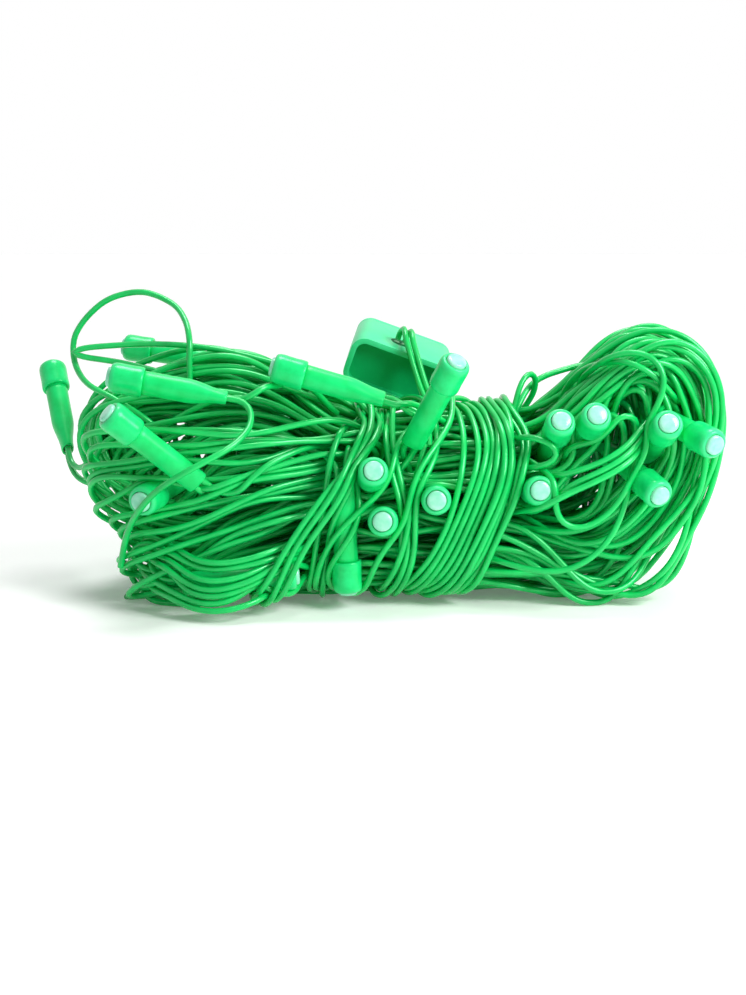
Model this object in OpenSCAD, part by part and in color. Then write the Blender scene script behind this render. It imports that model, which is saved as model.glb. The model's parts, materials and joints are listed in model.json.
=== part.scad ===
// A hank of LED string lights. One long green wire is laid in loops and tied round the
// waist with its own end. Lamps in soft sleeves stand out of it, and a small two-pin plug
// with the driver inside rides on top. X runs along the hank, Y away from the viewer.

/* [Wire] */
// Outside diameter of the insulated wire
wire_d = 1.6; // [1.5:0.1:1.8]
// Clear space left where two pieces lie against each other
rest_gap = 0.3; // [0.25:0.05:0.35]

/* [Hank] */
// Loops laid side by side in one layer
loops_per_layer = 5; // [4:1:5]
// Layers of loops from the front to the back
layer_count = 4; // [2:2:4]
// Half the length of the hank, from its middle to the outermost wire
hank_half = 87; // [85:1:92]
// Height of the hank at its left end
left_height = 66; // [62:1:70]
// Height of the hank at its right end
right_height = 71; // [68:1:76]
// Place of the middle of the hank, to the right of its lamps' middle
hank_mid = 5; // [4:0.5:6]
// Height of the open channel that the innermost loop leaves at the waist
eye_height = 19.6; // [19:0.2:21]
// Height of the open channel at the left end
left_eye_height = 15; // [14:0.5:17]
// Height of the open channel at the right end
right_eye_height = 24; // [23:0.5:26]
// Height of the channel's middle above the floor at the left end
left_eye = 32; // [30:1:34]
// Height of the channel's middle above the floor at the right end
right_eye = 46; // [44:1:48]
// Spacing of the layers at the two ends
layer_pitch = 14; // [13:0.5:15]
// Spacing of the layers at the waist
waist_layer_pitch = 9; // [8:0.5:10]
// How far a loop strays out of its layer at the ends
wander = 3.5; // [2:0.5:4]

/* [Waist wrap] */
// Place of the waist along the hank
waist_x = 12; // [10:1:14]
// How far from the waist the hank takes to open out
waist_reach = 40; // [36:1:44]
// Turns in the left-hand group of the wrap
left_turns = 4; // [3:1:4]
// Turns in the right-hand group of the wrap
right_turns = 6; // [4:1:6]
// How far the turns lean to the right at their top
wrap_lean = 8; // [6:0.5:9]

/* [Lamp] */
// Outside diameter of the soft sleeve
sleeve_d = 6; // [5.6:0.1:6.2]
// Length of the sleeve from its tail to the cap's seat
sleeve_len = 22; // [20:0.5:23]
// Thickness of the pinched tail
tail_t = 3.4; // [3.1:0.1:3.8]
// Diameter of the cap round the lens
cap_d = 7.6; // [7.2:0.1:7.8]
// Length of the cap beyond the sleeve
cap_len = 6.6; // [6:0.1:7.5]
// Diameter of the flat-topped LED lens
lens_d = 5; // [4.8:0.1:5]
// How far the lens stands out of the cap
lens_out = 0.9; // [0.5:0.1:1.2]

/* [Plug] */
// Width of the plug
plug_w = 28; // [27.5:0.5:30]
// Height of the plug
plug_h = 14; // [13.5:0.5:15]
// Depth of the plug without its pins
plug_depth = 22; // [21:0.5:24]
// Wall of the plug's shell
plug_wall = 1.5; // [1.3:0.1:1.7]
// Depth of the recess in the plug's front
recess = 2.5; // [2:0.25:3]
// Diameter of a plug pin
pin_d = 4; // [4:0.1:4.2]
// Length of a plug pin outside the plug
pin_len = 19; // [18:0.5:20]
// Spacing of the two pins
pin_pitch = 19; // [18:0.5:19]
// How far the plug is rolled over to the right
plug_roll = 20; // [18:1:22]
// How far the plug is tipped towards the viewer
plug_tip = 12; // [10:1:14]

/* [Hidden] */
$fn = 48;
free_names = ["far_left", "back_left", "upper_left", "front_left", "top", "upright"];

// Shift that puts the middle of the whole part over the origin
origin_x = 2.6;
origin_y = -5;

wire_r = wire_d / 2;
// Step between wires that lie side by side
lay = wire_d + 2 * rest_gap;
// Height of a wire's middle on the floor, where a tenth of the wire is pressed flat
floor_z = wire_r - wire_d / 10;
eye_half = eye_height / 2;
left_half = left_eye_height / 2;
right_half = right_eye_height / 2;
turns = loops_per_layer * layer_count;
rings = 24;
// The outermost wire at the left end of the hank
left_end = hank_mid - hank_half;

function unit(v) = v / norm(v);
function clamp(t) = max(0, min(1, t));
function rise(t) = let (c = clamp(t)) c * c * (3 - 2 * c);
function bow(s, power) = sign(s) * pow(abs(s), power);

// The waist: 0 at its middle and 1 where the hank has opened out
function ease(x) = 1 - exp(-pow((x - waist_x) / waist_reach, 2));
function spread(x, left, waist, right) = waist + ((x < waist_x ? left : right) - waist) * ease(x);

// The turns of the wrap lie under the loops from wrap_from to wrap_to, and lift them
wrap_step = lay + rest_gap;
wrap_left = waist_x - 23.5 - (left_turns - 1) * wrap_step;
wrap_jump = 25;
// Room between the wrap and the loops that it holds, round the corners too
wrap_room = 1.2;
wrap_turns = left_turns + right_turns;
wrap_from = wrap_left - wrap_lean - lay;
wrap_to = wrap_left + wrap_turns * wrap_step + wrap_jump - wrap_lean + lay;
function under_lift(x) =
    (lay + wrap_room) * rise((x - wrap_from + 24) / 12) * rise((wrap_to + 24 - x) / 12);

// The open channel, and the steps between loops above and below it
waist_eye = floor_z + lay + wrap_room + (loops_per_layer - 0.5) * lay + eye_half;
// A loop's height is reached where its run still bends down by this share towards the end
bend = 0.88;
left_up = ((left_height - wire_r - left_eye) / bend - left_half) / loops_per_layer;
right_up = ((right_height - wire_r - right_eye) / bend - right_half) / loops_per_layer;
left_down = (left_eye / bend - left_half) / (loops_per_layer - 0.5);
right_down = (right_eye / bend - right_half) / (loops_per_layer - 0.5);
end_step = lay;
function eye_mid(x) = spread(x, left_eye, waist_eye, right_eye);
function eye(x) = spread(x, left_half, eye_half, right_half);
function step_up(x) = spread(x, left_up, lay, right_up);
function step_down(x) = spread(x, left_down, lay, right_down);
function bed(x, q) = floor_z + under_lift(x) + (loops_per_layer - 0.5 - q) * lay;
function layer_step(x) = spread(x, layer_pitch, waist_layer_pitch, layer_pitch);

// The loops spiral out and in again, one layer after the other, with a climb along a top run
function spiral(u) = let (m = u % (2 * loops_per_layer)) min(m, 2 * loops_per_layer - m);
function layer(u) =
    let (n = round(u / loops_per_layer))
    n < 1 ? 0 : n > layer_count - 1 ? layer_count - 1 : n - 1 + rise(2 * (u - n * loops_per_layer) + 0.5);
function hank_point(u) =
    let (
        s = sin(360 * u + 90),
        q = spiral(u),
        x = hank_mid + (hank_half - (loops_per_layer - q) * end_step) * cos(360 * u + 90),
        half = eye(x) + q * (s > 0 ? step_up(x) : step_down(x)),
        rounding = 1 - 0.45 * (1 - ease(x)) * pow(q / loops_per_layer, 2),
        y = (layer(u) - (layer_count - 1) / 2) * layer_step(x) * rounding)
    [x, y + wander * ease(x) * sin(137 * u), max(eye_mid(x) + half * bow(s, 0.5), bed(x, q))];

// The wrap: two groups of slanted turns, joined by one long step across the back
function run_bow(x) = pow(1 - pow((x - hank_mid) / hank_half, 2), 0.25);
function run_top(x) = eye_mid(x) + (eye(x) + loops_per_layer * step_up(x)) * run_bow(x);
function run_bottom(x) =
    max(eye_mid(x) - (eye(x) + (loops_per_layer - 0.5) * step_down(x)) * run_bow(x),
        bed(x, loops_per_layer - 0.5));
function wrap_depth(x) = (layer_count - 1) / 2 * layer_step(x) + wander * ease(x) + lay + wrap_room;
function wrap_point(u) =
    let (
        c = bow(cos(360 * u), 0.4),
        s = bow(sin(360 * u), 0.4),
        x = wrap_left + wrap_step * u + wrap_jump * rise(2 * (u - left_turns) + 0.5) + wrap_lean * s,
        top = run_top(x) + lay + wrap_room,
        bottom = max(run_bottom(x) - lay - wrap_room, floor_z))
    [x, wrap_depth(x) * c, (top + bottom) / 2 + (top - bottom) / 2 * s];

// Both ends of a wound tube run straight for one diameter
function straight_ends(path) =
    let (n = len(path) - 1)
    concat([path[0] + unit(path[0] - path[1]) * wire_d], path,
           [path[n] + unit(path[n] - path[n - 1]) * wire_d]);
loop_path = straight_ends([for (i = [0 : turns * rings]) hank_point(i / rings)]);
wrap_path = straight_ends([for (i = [0 : wrap_turns * rings]) wrap_point(0.1 + i / rings)]);

// Least clear space of a wound tube to itself, on its ring points and the points between them
function halves(path) =
    [for (i = [0 : 2 * (len(path) - 1)])
        i % 2 == 0 ? path[i / 2] : (path[(i - 1) / 2] + path[(i + 1) / 2]) / 2];
function least_gap(path) =
    let (p = halves(path), n = len(p))
    min([for (i = [0 : n - 1], k = [1 : floor((n - i) / (2 * rings)) + 1], o = [-5 : 5])
        let (j = i + 2 * rings * k + o) if (j < n) norm(p[i] - p[j])]) - wire_d;

// The nearest place on a wound wire: [distance, point, direction of the wire]
function on_segment(p, a, b) =
    let (q = a + (b - a) * clamp((p - a) * (b - a) / ((b - a) * (b - a)))) [norm(p - q), q, unit(b - a)];
function nearest(p, path) =
    let (
        found = [for (i = [0 : len(path) - 2]) on_segment(p, path[i], path[i + 1])],
        least = min([for (f = found) f[0]]))
    [for (f = found) if (f[0] == least) f][0];
function rest_place(p) =
    let (a = nearest(p, loop_path), b = nearest(p, wrap_path)) a[0] < b[0] ? a : b;

// A smooth run through points chosen by hand
function between(a, b, c, d, t) =
    b + 0.5 * t * (c - a + t * (2 * a - 5 * b + 4 * c - d + t * (3 * (b - c) + d - a)));
function smooth_run(p, parts) =
    let (n = len(p) - 1)
    concat([for (i = [0 : n - 1], k = [0 : parts - 1])
        between(p[max(i - 1, 0)], p[i], p[i + 1], p[min(i + 2, n)], k / parts)], [p[n]]);

// The loose loop: it leaves the top of the hank, stands up in an arc and goes back in
loose_from = nearest(hank_point(loops_per_layer + 0.11), loop_path)[1];
loose_to = nearest(hank_point(loops_per_layer + 0.2), loop_path)[1];
loose_route = [
    loose_from + [0, 0, wire_r + rest_gap],
    loose_from + [0, 1, lay + 5],
    [left_end + 26, 4, left_height + 10],
    [left_end + 18, 4, left_height + 13],
    [left_end + 9, 4, left_height + 9.5],
    [left_end + 2, 3, left_height],
    [left_end + 3, 1, left_height - 8],
    loose_to + [-3, 0, lay + 1],
    loose_to + [0, 0, wire_d + rest_gap]];

// Lamps stand from the tail to the tip along one line: [tail, point aimed at, way it lifts]
lamp_len = sleeve_len + cap_len + lens_out;
front = -1.5 * layer_pitch - wander - wire_r - rest_gap - cap_d / 2;
function wrap_front(x) = -wrap_depth(x) - wire_r - rest_gap - cap_d / 2;
back = -front;
free_lamps = [
    [[left_end - 4.5, 8, left_eye + 4], [left_end - 11.5, 24.6, left_eye + 24], [-1, 0, 0.3]],
    [[left_end + 36, back, left_height - 8], [left_end + 12, back + 2, left_height - 4.5], [0, 0, 1]],
    [[left_end + 43, front + 2, left_height - 11.5], [left_end + 17, front, left_height - 6.5], [0, 0, 1]],
    [[left_end + 36, front - 2, left_eye + 2], [left_end + 18, front - 11, left_eye + 19], [0, -1, 0]],
    [[-0.5, -22, 53.5], [-28, -22, 61.5], [0, -0.3, 1]],
    [[6.5, wrap_front(6) + 1, 42], [16.5, wrap_front(6) - 14, 64], [0, -1, 0]]];
bedded_lamps = [
    [[left_end + 32, -9, left_eye + 1], [left_end + 22, front - 8, left_eye - 2], [0, 0, 1]],
    [[-5, -4.5, 26], [-3, -32, 37.5], [0, 0, 1]],
    [[1, -3, 18.8], [-1, -32, 24.5], [0, 0, 1]],
    [[12.5, 0, 25], [12.5, -28, 29], [0, 0, 1]],
    [[-11, wrap_front(-10), 33.5], [-9.5, wrap_front(-10), 3], [0, -1, 0]],
    [[left_end + 31, front, 8], [left_end + 61, front + 2, 10], [0, -1, 0]],
    [[41.5, -4, 33], [43, -28, 49], [0, 0, 1]],
    [[49, -4, 36.5], [51.5, -28, 50], [0, 0, 1]],
    [[36, -1, 26], [38, -28, 31.5], [0, 0, 1]],
    [[68, -6, 36], [68.5, -31, 48.5], [0, 0, 1]],
    [[68.5, -7, 48.5], [80, -34, 43.5], [0, 0, 1]],
    [[58, -6, 39], [67, -32, 31], [0, 0, 1]],
    [[-36, 5, 30.5], [-40, 34, 32], [0, 0, 1]],
    [[72, 9, 46], [73, 38, 49], [0, 0, 1]]];
all_lamps = concat(free_lamps, bedded_lamps);
function aim(lamp) = unit(lamp[1] - lamp[0]);
// The two wires of a tail leave side by side along this line, which is also the way it bends
function side_line(lamp) = unit(cross(aim(lamp), lamp[2]));

tail_pitch = wire_d + 0.8;
tail_spread = tail_pitch + 1.2;
tail_hole = wire_d + 0.3;
tail_len = 7;
pinch_len = 9;
sleeve_bore = sleeve_d - 1.6;
flange_t = 1;
fit = 0.1;
// Space at a free lamp's tail that lets it bend
bend_gap = 0.8;

// The plug rides on the waist, rolled to the right and tipped towards the viewer
plug_at = [3.7, 24.5, run_top(waist_x) + wire_r + 12.7];
plug_round = 4;
cover_t = 1.6;
// Step on a pin where it goes through the rear cover
pin_shoulder = 0.4;
// Height of the pins over the middle of the plug
pin_z = -1.2;
front_wall = recess + plug_wall;
// Place of the cord hole in the top of the plug
cord_x = -1.5;
cord_y = -plug_depth / 2 + front_wall + 3.5;
lead_pitch = wire_d + 0.5;
screw_x = 4;
screw_z = -plug_h / 2 + plug_wall + 1.8;
board_z = screw_z + 2.2;

module at_lamp(lamp) {
    x = side_line(lamp);
    z = aim(lamp);
    y = cross(z, x);
    p = lamp[0];
    multmatrix([[x.x, y.x, z.x, p.x], [x.y, y.y, z.y, p.y], [x.z, y.z, z.z, p.z], [0, 0, 0, 1]])
        children();
}

module at_plug() {
    translate(plug_at) rotate([plug_tip, plug_roll, 0]) children();
}

// A tube swept along a path, with its rings turned to a line across the path
module tube(path, across, sides) {
    n = len(path);
    points = [
        for (i = [0 : n - 1])
            let (
                t = unit(path[min(i + 1, n - 1)] - path[max(i - 1, 0)]),
                b = unit(across - (across * t) * t),
                m = cross(b, t))
            for (k = [0 : sides - 1])
                let (a = 360 * (k + 0.5) / sides, p = path[i] + wire_r * (cos(a) * m + sin(a) * b))
                [p.x, p.y, max(p.z, 0)]];
    walls = [
        for (i = [0 : n - 2], k = [0 : sides - 1], half = [0, 1])
            let (a = i * sides + k, b = i * sides + (k + 1) % sides)
            half == 0 ? [a, b + sides, b] : [a, a + sides, b + sides]];
    caps = [
        for (k = [1 : sides - 2], end = [0, 1])
            let (e = (n - 1) * sides)
            end == 0 ? [0, k, k + 1] : [e, e + k + 1, e + k]];
    polyhedron(points, concat(walls, caps));
}

// One wire of a lamp's tail: a straight run with a tapered start
module straight_wire(from, to) {
    z = unit(to - from);
    x = unit(cross(z, abs(z.z) < 0.8 ? [0, 0, 1] : [1, 0, 0]));
    y = cross(z, x);
    tip = 0.7;
    multmatrix([[x.x, y.x, z.x, from.x], [x.y, y.y, z.y, from.y], [x.z, y.z, z.z, from.z], [0, 0, 0, 1]]) {
        cylinder(d1 = wire_d - 1, d2 = wire_d, h = tip);
        translate([0, 0, tip]) cylinder(d = wire_d, h = norm(to - from) - tip);
    }
}

module hank_loops() {
    color("limegreen") tube(loop_path, [0, 1, 0], 6);
}

module waist_wrap() {
    color("limegreen") tube(wrap_path, [1, 0, 0], 6);
}

module loose_loop() {
    color("limegreen") tube(smooth_run(loose_route, 3), [0, 1, 0], 8);
}

// Where a lamp's tail ends, clear of the wire that it rests on, and which way its two wires part
function tail_end(from, probe, place) =
    let (n = unit(probe - place[1]), slant = norm(cross(unit(place[1] - from), n)))
    place[1] + n * (wire_r + rest_gap + wire_r * slant);
function part_line(lamp, from, probe, place) =
    let (
        n = unit(probe - place[1]),
        c = cross(unit(place[1] - from), n),
        line = norm(c) > 0.3 ? unit(c) : place[2])
    line * (side_line(lamp) * line < 0 ? -1 : 1);

// The two wires of a bedded lamp's tail run straight to the nearest wire behind it
module lamp_tails() {
    color("limegreen")
    for (lamp = bedded_lamps) {
        probe = lamp[0] - aim(lamp) * 8;
        place = rest_place(probe);
        for (s = [-0.5, 0.5])
            straight_wire(
                lamp[0] - aim(lamp) * bend_gap + side_line(lamp) * tail_pitch * s,
                tail_end(lamp[0], probe, place) + part_line(lamp, lamp[0], probe, place) * tail_spread * s);
    }
}

// A free lamp's tail leaves straight, so that the lamp can bend there, and then curves to its rest
module free_tails() {
    color("limegreen")
    for (lamp = free_lamps) {
        probe = lamp[0] - aim(lamp) * 9;
        place = rest_place(probe);
        knee = lamp[0] - aim(lamp) * 5;
        for (s = [-0.5, 0.5])
            tube(smooth_run([
                lamp[0] - aim(lamp) * bend_gap + side_line(lamp) * tail_pitch * s,
                knee + side_line(lamp) * tail_spread * s,
                tail_end(knee, probe, place) + part_line(lamp, knee, probe, place) * tail_spread * s], 2),
                side_line(lamp), 6);
    }
}

module sleeve() {
    color("mediumseagreen")
    difference() {
        cylinder(d = sleeve_d, h = sleeve_len);
        translate([0, 0, tail_len]) cylinder(d = sleeve_bore, h = sleeve_len);
        for (s = [-0.5, 0.5])
            translate([s * tail_pitch, 0, -1]) cylinder(d = tail_hole, h = tail_len + 2);
        for (s = [0, 180])
            rotate([0, 0, s]) rotate([90, 0, 90])
            linear_extrude(height = 2 * sleeve_d, center = true)
            polygon([[tail_t / 2, -1], [tail_t / 2, 0], [sleeve_d / 2 + 0.1, pinch_len],
                     [sleeve_d, pinch_len], [sleeve_d, -1]]);
    }
}

module cap() {
    skirt = 1.5;
    edge = 0.8;
    color("springgreen")
    translate([0, 0, sleeve_len])
    difference() {
        union() {
            translate([0, 0, -skirt]) cylinder(d = cap_d, h = skirt + cap_len - edge);
            translate([0, 0, cap_len - edge]) cylinder(d1 = cap_d, d2 = cap_d - edge, h = edge);
        }
        translate([0, 0, -skirt - 1]) cylinder(d = sleeve_d + fit, h = skirt + 1 + fit / 2);
        translate([0, 0, -1]) cylinder(d = lens_d + 0.8 + fit, h = 1 + flange_t + fit);
        cylinder(d = lens_d + fit, h = cap_len + 1);
    }
}

module lens() {
    color("azure")
    translate([0, 0, sleeve_len + fit / 2]) {
        cylinder(d = lens_d + 0.7, h = flange_t);
        cylinder(d = lens_d, h = cap_len + lens_out - fit / 2);
    }
}

module leads() {
    crimp_len = 4;
    color("silver")
    for (s = [-0.5, 0.5]) translate([s * tail_pitch, 0, 0]) {
        cylinder(d = wire_d, h = tail_len + 1);
        cylinder(d = 1.3, h = tail_len + 1 + crimp_len);
        cylinder(d = 0.5, h = sleeve_len - fit / 2);
    }
}

module rounded_box(w, h, d, r) {
    rotate([90, 0, 0]) linear_extrude(height = d, center = true) {
        square([w - 2 * r, h], center = true);
        square([w, h - 2 * r], center = true);
        for (x = [-1, 1], z = [-1, 1]) translate([x * (w / 2 - r), z * (h / 2 - r)]) circle(r);
    }
}

module plug_shell() {
    inside = plug_depth - front_wall - cover_t;
    inside_w = plug_w - 2 * plug_wall;
    inside_h = plug_h - 2 * plug_wall;
    color("seagreen") at_plug()
    difference() {
        union() {
            difference() {
                translate([0, -cover_t / 2, 0])
                    rounded_box(plug_w, plug_h, plug_depth - cover_t, plug_round);
                translate([0, -plug_depth / 2, 0])
                    rounded_box(inside_w, inside_h, 2 * recess, plug_round - plug_wall);
                translate([0, plug_depth / 2 - cover_t - inside / 2 + 1, 0])
                    rounded_box(inside_w, inside_h, inside + 2, plug_round - plug_wall);
            }
            for (x = [-screw_x, screw_x])
                translate([x, plug_depth / 2 - cover_t - 0.2, screw_z]) rotate([90, 0, 0])
                    cylinder(d = 3.8, h = inside);
        }
        for (x = [-screw_x, screw_x])
            translate([x, plug_depth / 2, screw_z]) rotate([90, 0, 0]) cylinder(d = 1.8, h = inside - 1);
        translate([cord_x, cord_y, 0]) cylinder(d = 5.5, h = plug_h);
    }
}

module plug_rear_cover() {
    color("seagreen") at_plug()
    translate([0, plug_depth / 2 - cover_t / 2 + fit, 0])
    difference() {
        rounded_box(plug_w, plug_h, cover_t, plug_round);
        for (x = [-pin_pitch / 2, pin_pitch / 2])
            translate([x, 0, pin_z]) rotate([90, 0, 0])
                cylinder(d = pin_d + pin_shoulder + fit, h = 3 * cover_t, center = true);
        for (x = [-screw_x, screw_x])
            translate([x, 0, screw_z]) rotate([90, 0, 0])
                cylinder(d = 2, h = 3 * cover_t, center = true);
    }
}

module plug_pins() {
    head_t = 1.5;
    nose = 0.8;
    color("goldenrod") at_plug()
    for (x = [-pin_pitch / 2, pin_pitch / 2])
        translate([x, plug_depth / 2 - cover_t, pin_z]) rotate([-90, 0, 0]) {
            translate([0, 0, -head_t]) cylinder(d = pin_d + 3 * pin_shoulder, h = head_t);
            cylinder(d = pin_d + pin_shoulder, h = cover_t + 2 * fit);
            cylinder(d = pin_d, h = cover_t + pin_len - nose);
            translate([0, 0, cover_t + pin_len - nose]) cylinder(d1 = pin_d, d2 = pin_d - 1.2, h = nose);
        }
}

module plug_screws() {
    color("silver") at_plug()
    for (x = [-screw_x, screw_x])
        translate([x, plug_depth / 2 + 2 * fit, screw_z]) rotate([90, 0, 0])
        difference() {
            union() {
                cylinder(d = 1.7, h = 9);
                translate([0, 0, -1]) cylinder(d = 3.2, h = 1);
            }
            translate([-0.25, -2, -1.5]) cube([0.5, 4, 1]);
        }
}

module cord_grip() {
    color("darkgreen") at_plug()
    translate([cord_x, cord_y, plug_h / 2 - plug_wall])
    difference() {
        union() {
            cylinder(d = 5.4, h = plug_wall);
            translate([0, 0, -0.8 - fit]) cylinder(d = 6.6, h = 0.8);
            translate([0, 0, -0.5]) cylinder(d = 5, h = 0.6);
        }
        for (s = [-0.5, 0.5])
            translate([s * lead_pitch, 0, -2]) cylinder(d = wire_d + 0.2, h = 2 * plug_wall + 3);
    }
}

module lead_ends() {
    color("limegreen") at_plug()
    for (s = [-0.5, 0.5])
        translate([cord_x + s * lead_pitch, cord_y, board_z + 1 + fit])
        cylinder(d = wire_d, h = plug_h / 2 - board_z - 1 - fit);
}

module plug_lead() {
    roll = [[cos(plug_roll), 0, sin(plug_roll)], [0, 1, 0], [-sin(plug_roll), 0, cos(plug_roll)]];
    tip = [[1, 0, 0], [0, cos(plug_tip), -sin(plug_tip)], [0, sin(plug_tip), cos(plug_tip)]];
    side = roll * tip * [1, 0, 0];
    up = roll * tip * [0, 0, 1];
    hole = plug_at + roll * tip * [cord_x, cord_y, plug_h / 2];
    foot = rest_place([hole.x + 8, 4, hole.z - 16]);
    color("limegreen")
    for (s = [-0.5, 0.5])
        tube(smooth_run([
            hole + up * 0.6 + side * lead_pitch * s,
            hole + up * 2.6 + side * lead_pitch * s,
            hole + up * 4 + [0.6, -3.5, 0] + side * lead_pitch * s,
            hole + [2.5, -8.5, 0.5] + side * lead_pitch * s,
            (foot[1] + hole) / 2 + [1.5, -6, -1] + side * lead_pitch * s,
            foot[1] + unit([0, -1, 1]) * (lay + 0.2) + side * lead_pitch * s], 3), side, 8);
}

module driver_board() {
    color("darkolivegreen") at_plug()
    translate([-plug_w / 2 + plug_wall + 0.4, -plug_depth / 2 + front_wall + 0.4, board_z])
    cube([plug_w - 2 * plug_wall - 0.8, plug_depth - front_wall - cover_t - 2.6, 1]);
}

module capacitor() {
    color("firebrick") at_plug()
    translate([3.5, -plug_depth / 2 + front_wall + 1, board_z + 1])
    cube([7.5, 4, plug_h / 2 - plug_wall - board_z - 1.6]);
}

module rectifier_diodes() {
    color("dimgray") at_plug()
    for (i = [0 : 3])
        translate([-10.2 + 2.7 * i, cord_y + 3.7, board_z + 1 + 1.15]) rotate([-90, 0, 0])
        cylinder(d = 2.2, h = 4);
}

module dropper_resistor() {
    color("tan") at_plug()
    translate([-11, cord_y - 0.8, board_z + 1 + 1.3]) rotate([0, 90, 0]) cylinder(d = 2.4, h = 6.3);
}

module bedded_sleeves() {
    for (lamp = bedded_lamps) at_lamp(lamp) sleeve();
}

module bedded_caps() {
    for (lamp = bedded_lamps) at_lamp(lamp) cap();
}

module bedded_lenses() {
    for (lamp = bedded_lamps) at_lamp(lamp) lens();
}

module bedded_leads() {
    for (lamp = bedded_lamps) at_lamp(lamp) leads();
}

union() {  // hank_loops
    echo(least_gap_between_loops = least_gap(loop_path));
    echo(least_gap_between_wrap_turns = least_gap(wrap_path));
}

translate([origin_x, origin_y, 0]) {
    hank_loops();
    waist_wrap();
    loose_loop();
    lamp_tails();
    free_tails();
    plug_lead();
    bedded_sleeves();
    bedded_caps();
    bedded_lenses();
    bedded_leads();
    plug_shell();
    plug_rear_cover();
    plug_pins();
    plug_screws();
    cord_grip();
    lead_ends();
    driver_board();
    capacitor();
    rectifier_diodes();
    dropper_resistor();
    for (i = [0 : len(free_names) - 1]) {
        at_lamp(free_lamps[i]) sleeve();
        at_lamp(free_lamps[i]) cap();
        at_lamp(free_lamps[i]) lens();
        at_lamp(free_lamps[i]) leads();
    }
}
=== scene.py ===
# %% [markdown]
# # A hank of LED string lights
#
# The object is about forty metres of thin green wire, laid in long loops and tied round the
# waist with its own end. Soft sleeves with an LED in each stand out of the loops, and a small
# plug with a twin lead rides on top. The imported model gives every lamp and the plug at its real
# place. This script adds what a solid model can't show: the wire as it really lies, strand on
# strand, and the finish of each plastic.

# %% Load the frame
import json

import bmesh
import bpy
import numpy as np
from mathutils import Matrix, Vector


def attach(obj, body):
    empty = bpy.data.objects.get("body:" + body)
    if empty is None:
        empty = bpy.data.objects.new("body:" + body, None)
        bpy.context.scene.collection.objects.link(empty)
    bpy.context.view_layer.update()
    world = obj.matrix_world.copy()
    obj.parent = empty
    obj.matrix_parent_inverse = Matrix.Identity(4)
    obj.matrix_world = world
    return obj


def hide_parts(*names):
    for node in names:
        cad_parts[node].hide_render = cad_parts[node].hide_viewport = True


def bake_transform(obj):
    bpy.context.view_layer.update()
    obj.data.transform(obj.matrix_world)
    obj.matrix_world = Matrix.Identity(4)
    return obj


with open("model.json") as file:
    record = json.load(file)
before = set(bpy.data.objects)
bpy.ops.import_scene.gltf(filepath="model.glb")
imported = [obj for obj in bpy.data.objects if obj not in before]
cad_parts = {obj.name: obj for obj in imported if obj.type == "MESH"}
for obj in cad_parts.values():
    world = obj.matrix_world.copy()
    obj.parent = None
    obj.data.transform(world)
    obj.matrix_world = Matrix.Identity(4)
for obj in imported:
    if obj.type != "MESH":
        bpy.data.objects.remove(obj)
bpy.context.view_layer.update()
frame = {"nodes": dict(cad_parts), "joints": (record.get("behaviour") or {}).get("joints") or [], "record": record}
MM = 0.001

# %% [markdown]
# ## The camera
#
# A camera is found from the picture, not guessed. The lenses are 5 mm across, and the front ones
# measure 20 pixels, so at that distance a millimetre is 4 pixels. The floor line and the visible
# tops of the lamps put the camera 11 degrees above the table. Routes in this script are written
# in the same millimetres as the model's own routes, and SHIFT moves them to the frame's origin.

# %% Camera
SHIFT = np.array([2.6, -5.0, 0.0])
IMAGE_HEIGHT = 995
SENSOR = 36.0
FOCAL_PIXELS = 1360.0
CAMERA_RISE = np.radians(11.0)
CAMERA_DISTANCE = 340.0
AIM_POINT = np.array([-3.25, -25.0, 29.2]) + SHIFT

view_line = Vector((0.0, np.cos(CAMERA_RISE), -np.sin(CAMERA_RISE)))
camera_data = bpy.data.cameras.new("camera")
camera_data.sensor_width = SENSOR
camera_data.lens = FOCAL_PIXELS * SENSOR / IMAGE_HEIGHT
camera_data.clip_start = 0.01
camera = bpy.data.objects.new("camera", camera_data)
camera.location = (Vector(AIM_POINT) - view_line * CAMERA_DISTANCE) * MM
camera.rotation_euler = view_line.to_track_quat("-Z", "Y").to_euler()
bpy.context.scene.collection.objects.link(camera)
bpy.context.scene.camera = camera
print("camera at", [round(x, 3) for x in camera.location], "lens", round(camera_data.lens, 1))

# %% [markdown]
# ## Reading the lamps from the frame
#
# Each lamp in the model is four solids: sleeve, cap, lens and two leads. The lens is a long
# cylinder with a flange at its foot, so its own points say which way the lamp points. The line
# from one lead to the other is the way its pinched tail lies. The bedded lamps share one node for
# each kind of piece, so that node is first split into its loose solids.

# %% Lamp places
FREE_LAMPS = ("far_left", "back_left", "upper_left", "front_left", "top", "upright")
LENS_TO_LEADS = 14.0
FLANGE_BAND = 0.1


def loose_solids(node):
    """The separate solids of a CAD node, each as an array of points in millimetres."""
    bm = bmesh.new()
    bm.from_mesh(frame["nodes"][node].data)
    bmesh.ops.remove_doubles(bm, verts=bm.verts, dist=1e-7)
    bm.verts.ensure_lookup_table()
    unseen = set(range(len(bm.verts)))
    found = []
    while unseen:
        front = [unseen.pop()]
        solid = list(front)
        while front:
            vert = bm.verts[front.pop()]
            for edge in vert.link_edges:
                other = edge.other_vert(vert).index
                if other in unseen:
                    unseen.discard(other)
                    front.append(other)
                    solid.append(other)
        found.append(np.array([bm.verts[i].co for i in solid]) / MM)
    bm.free()
    return found


def unit(v):
    return v / np.linalg.norm(v)


def middle(points):
    return (points.min(0) + points.max(0)) / 2


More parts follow.
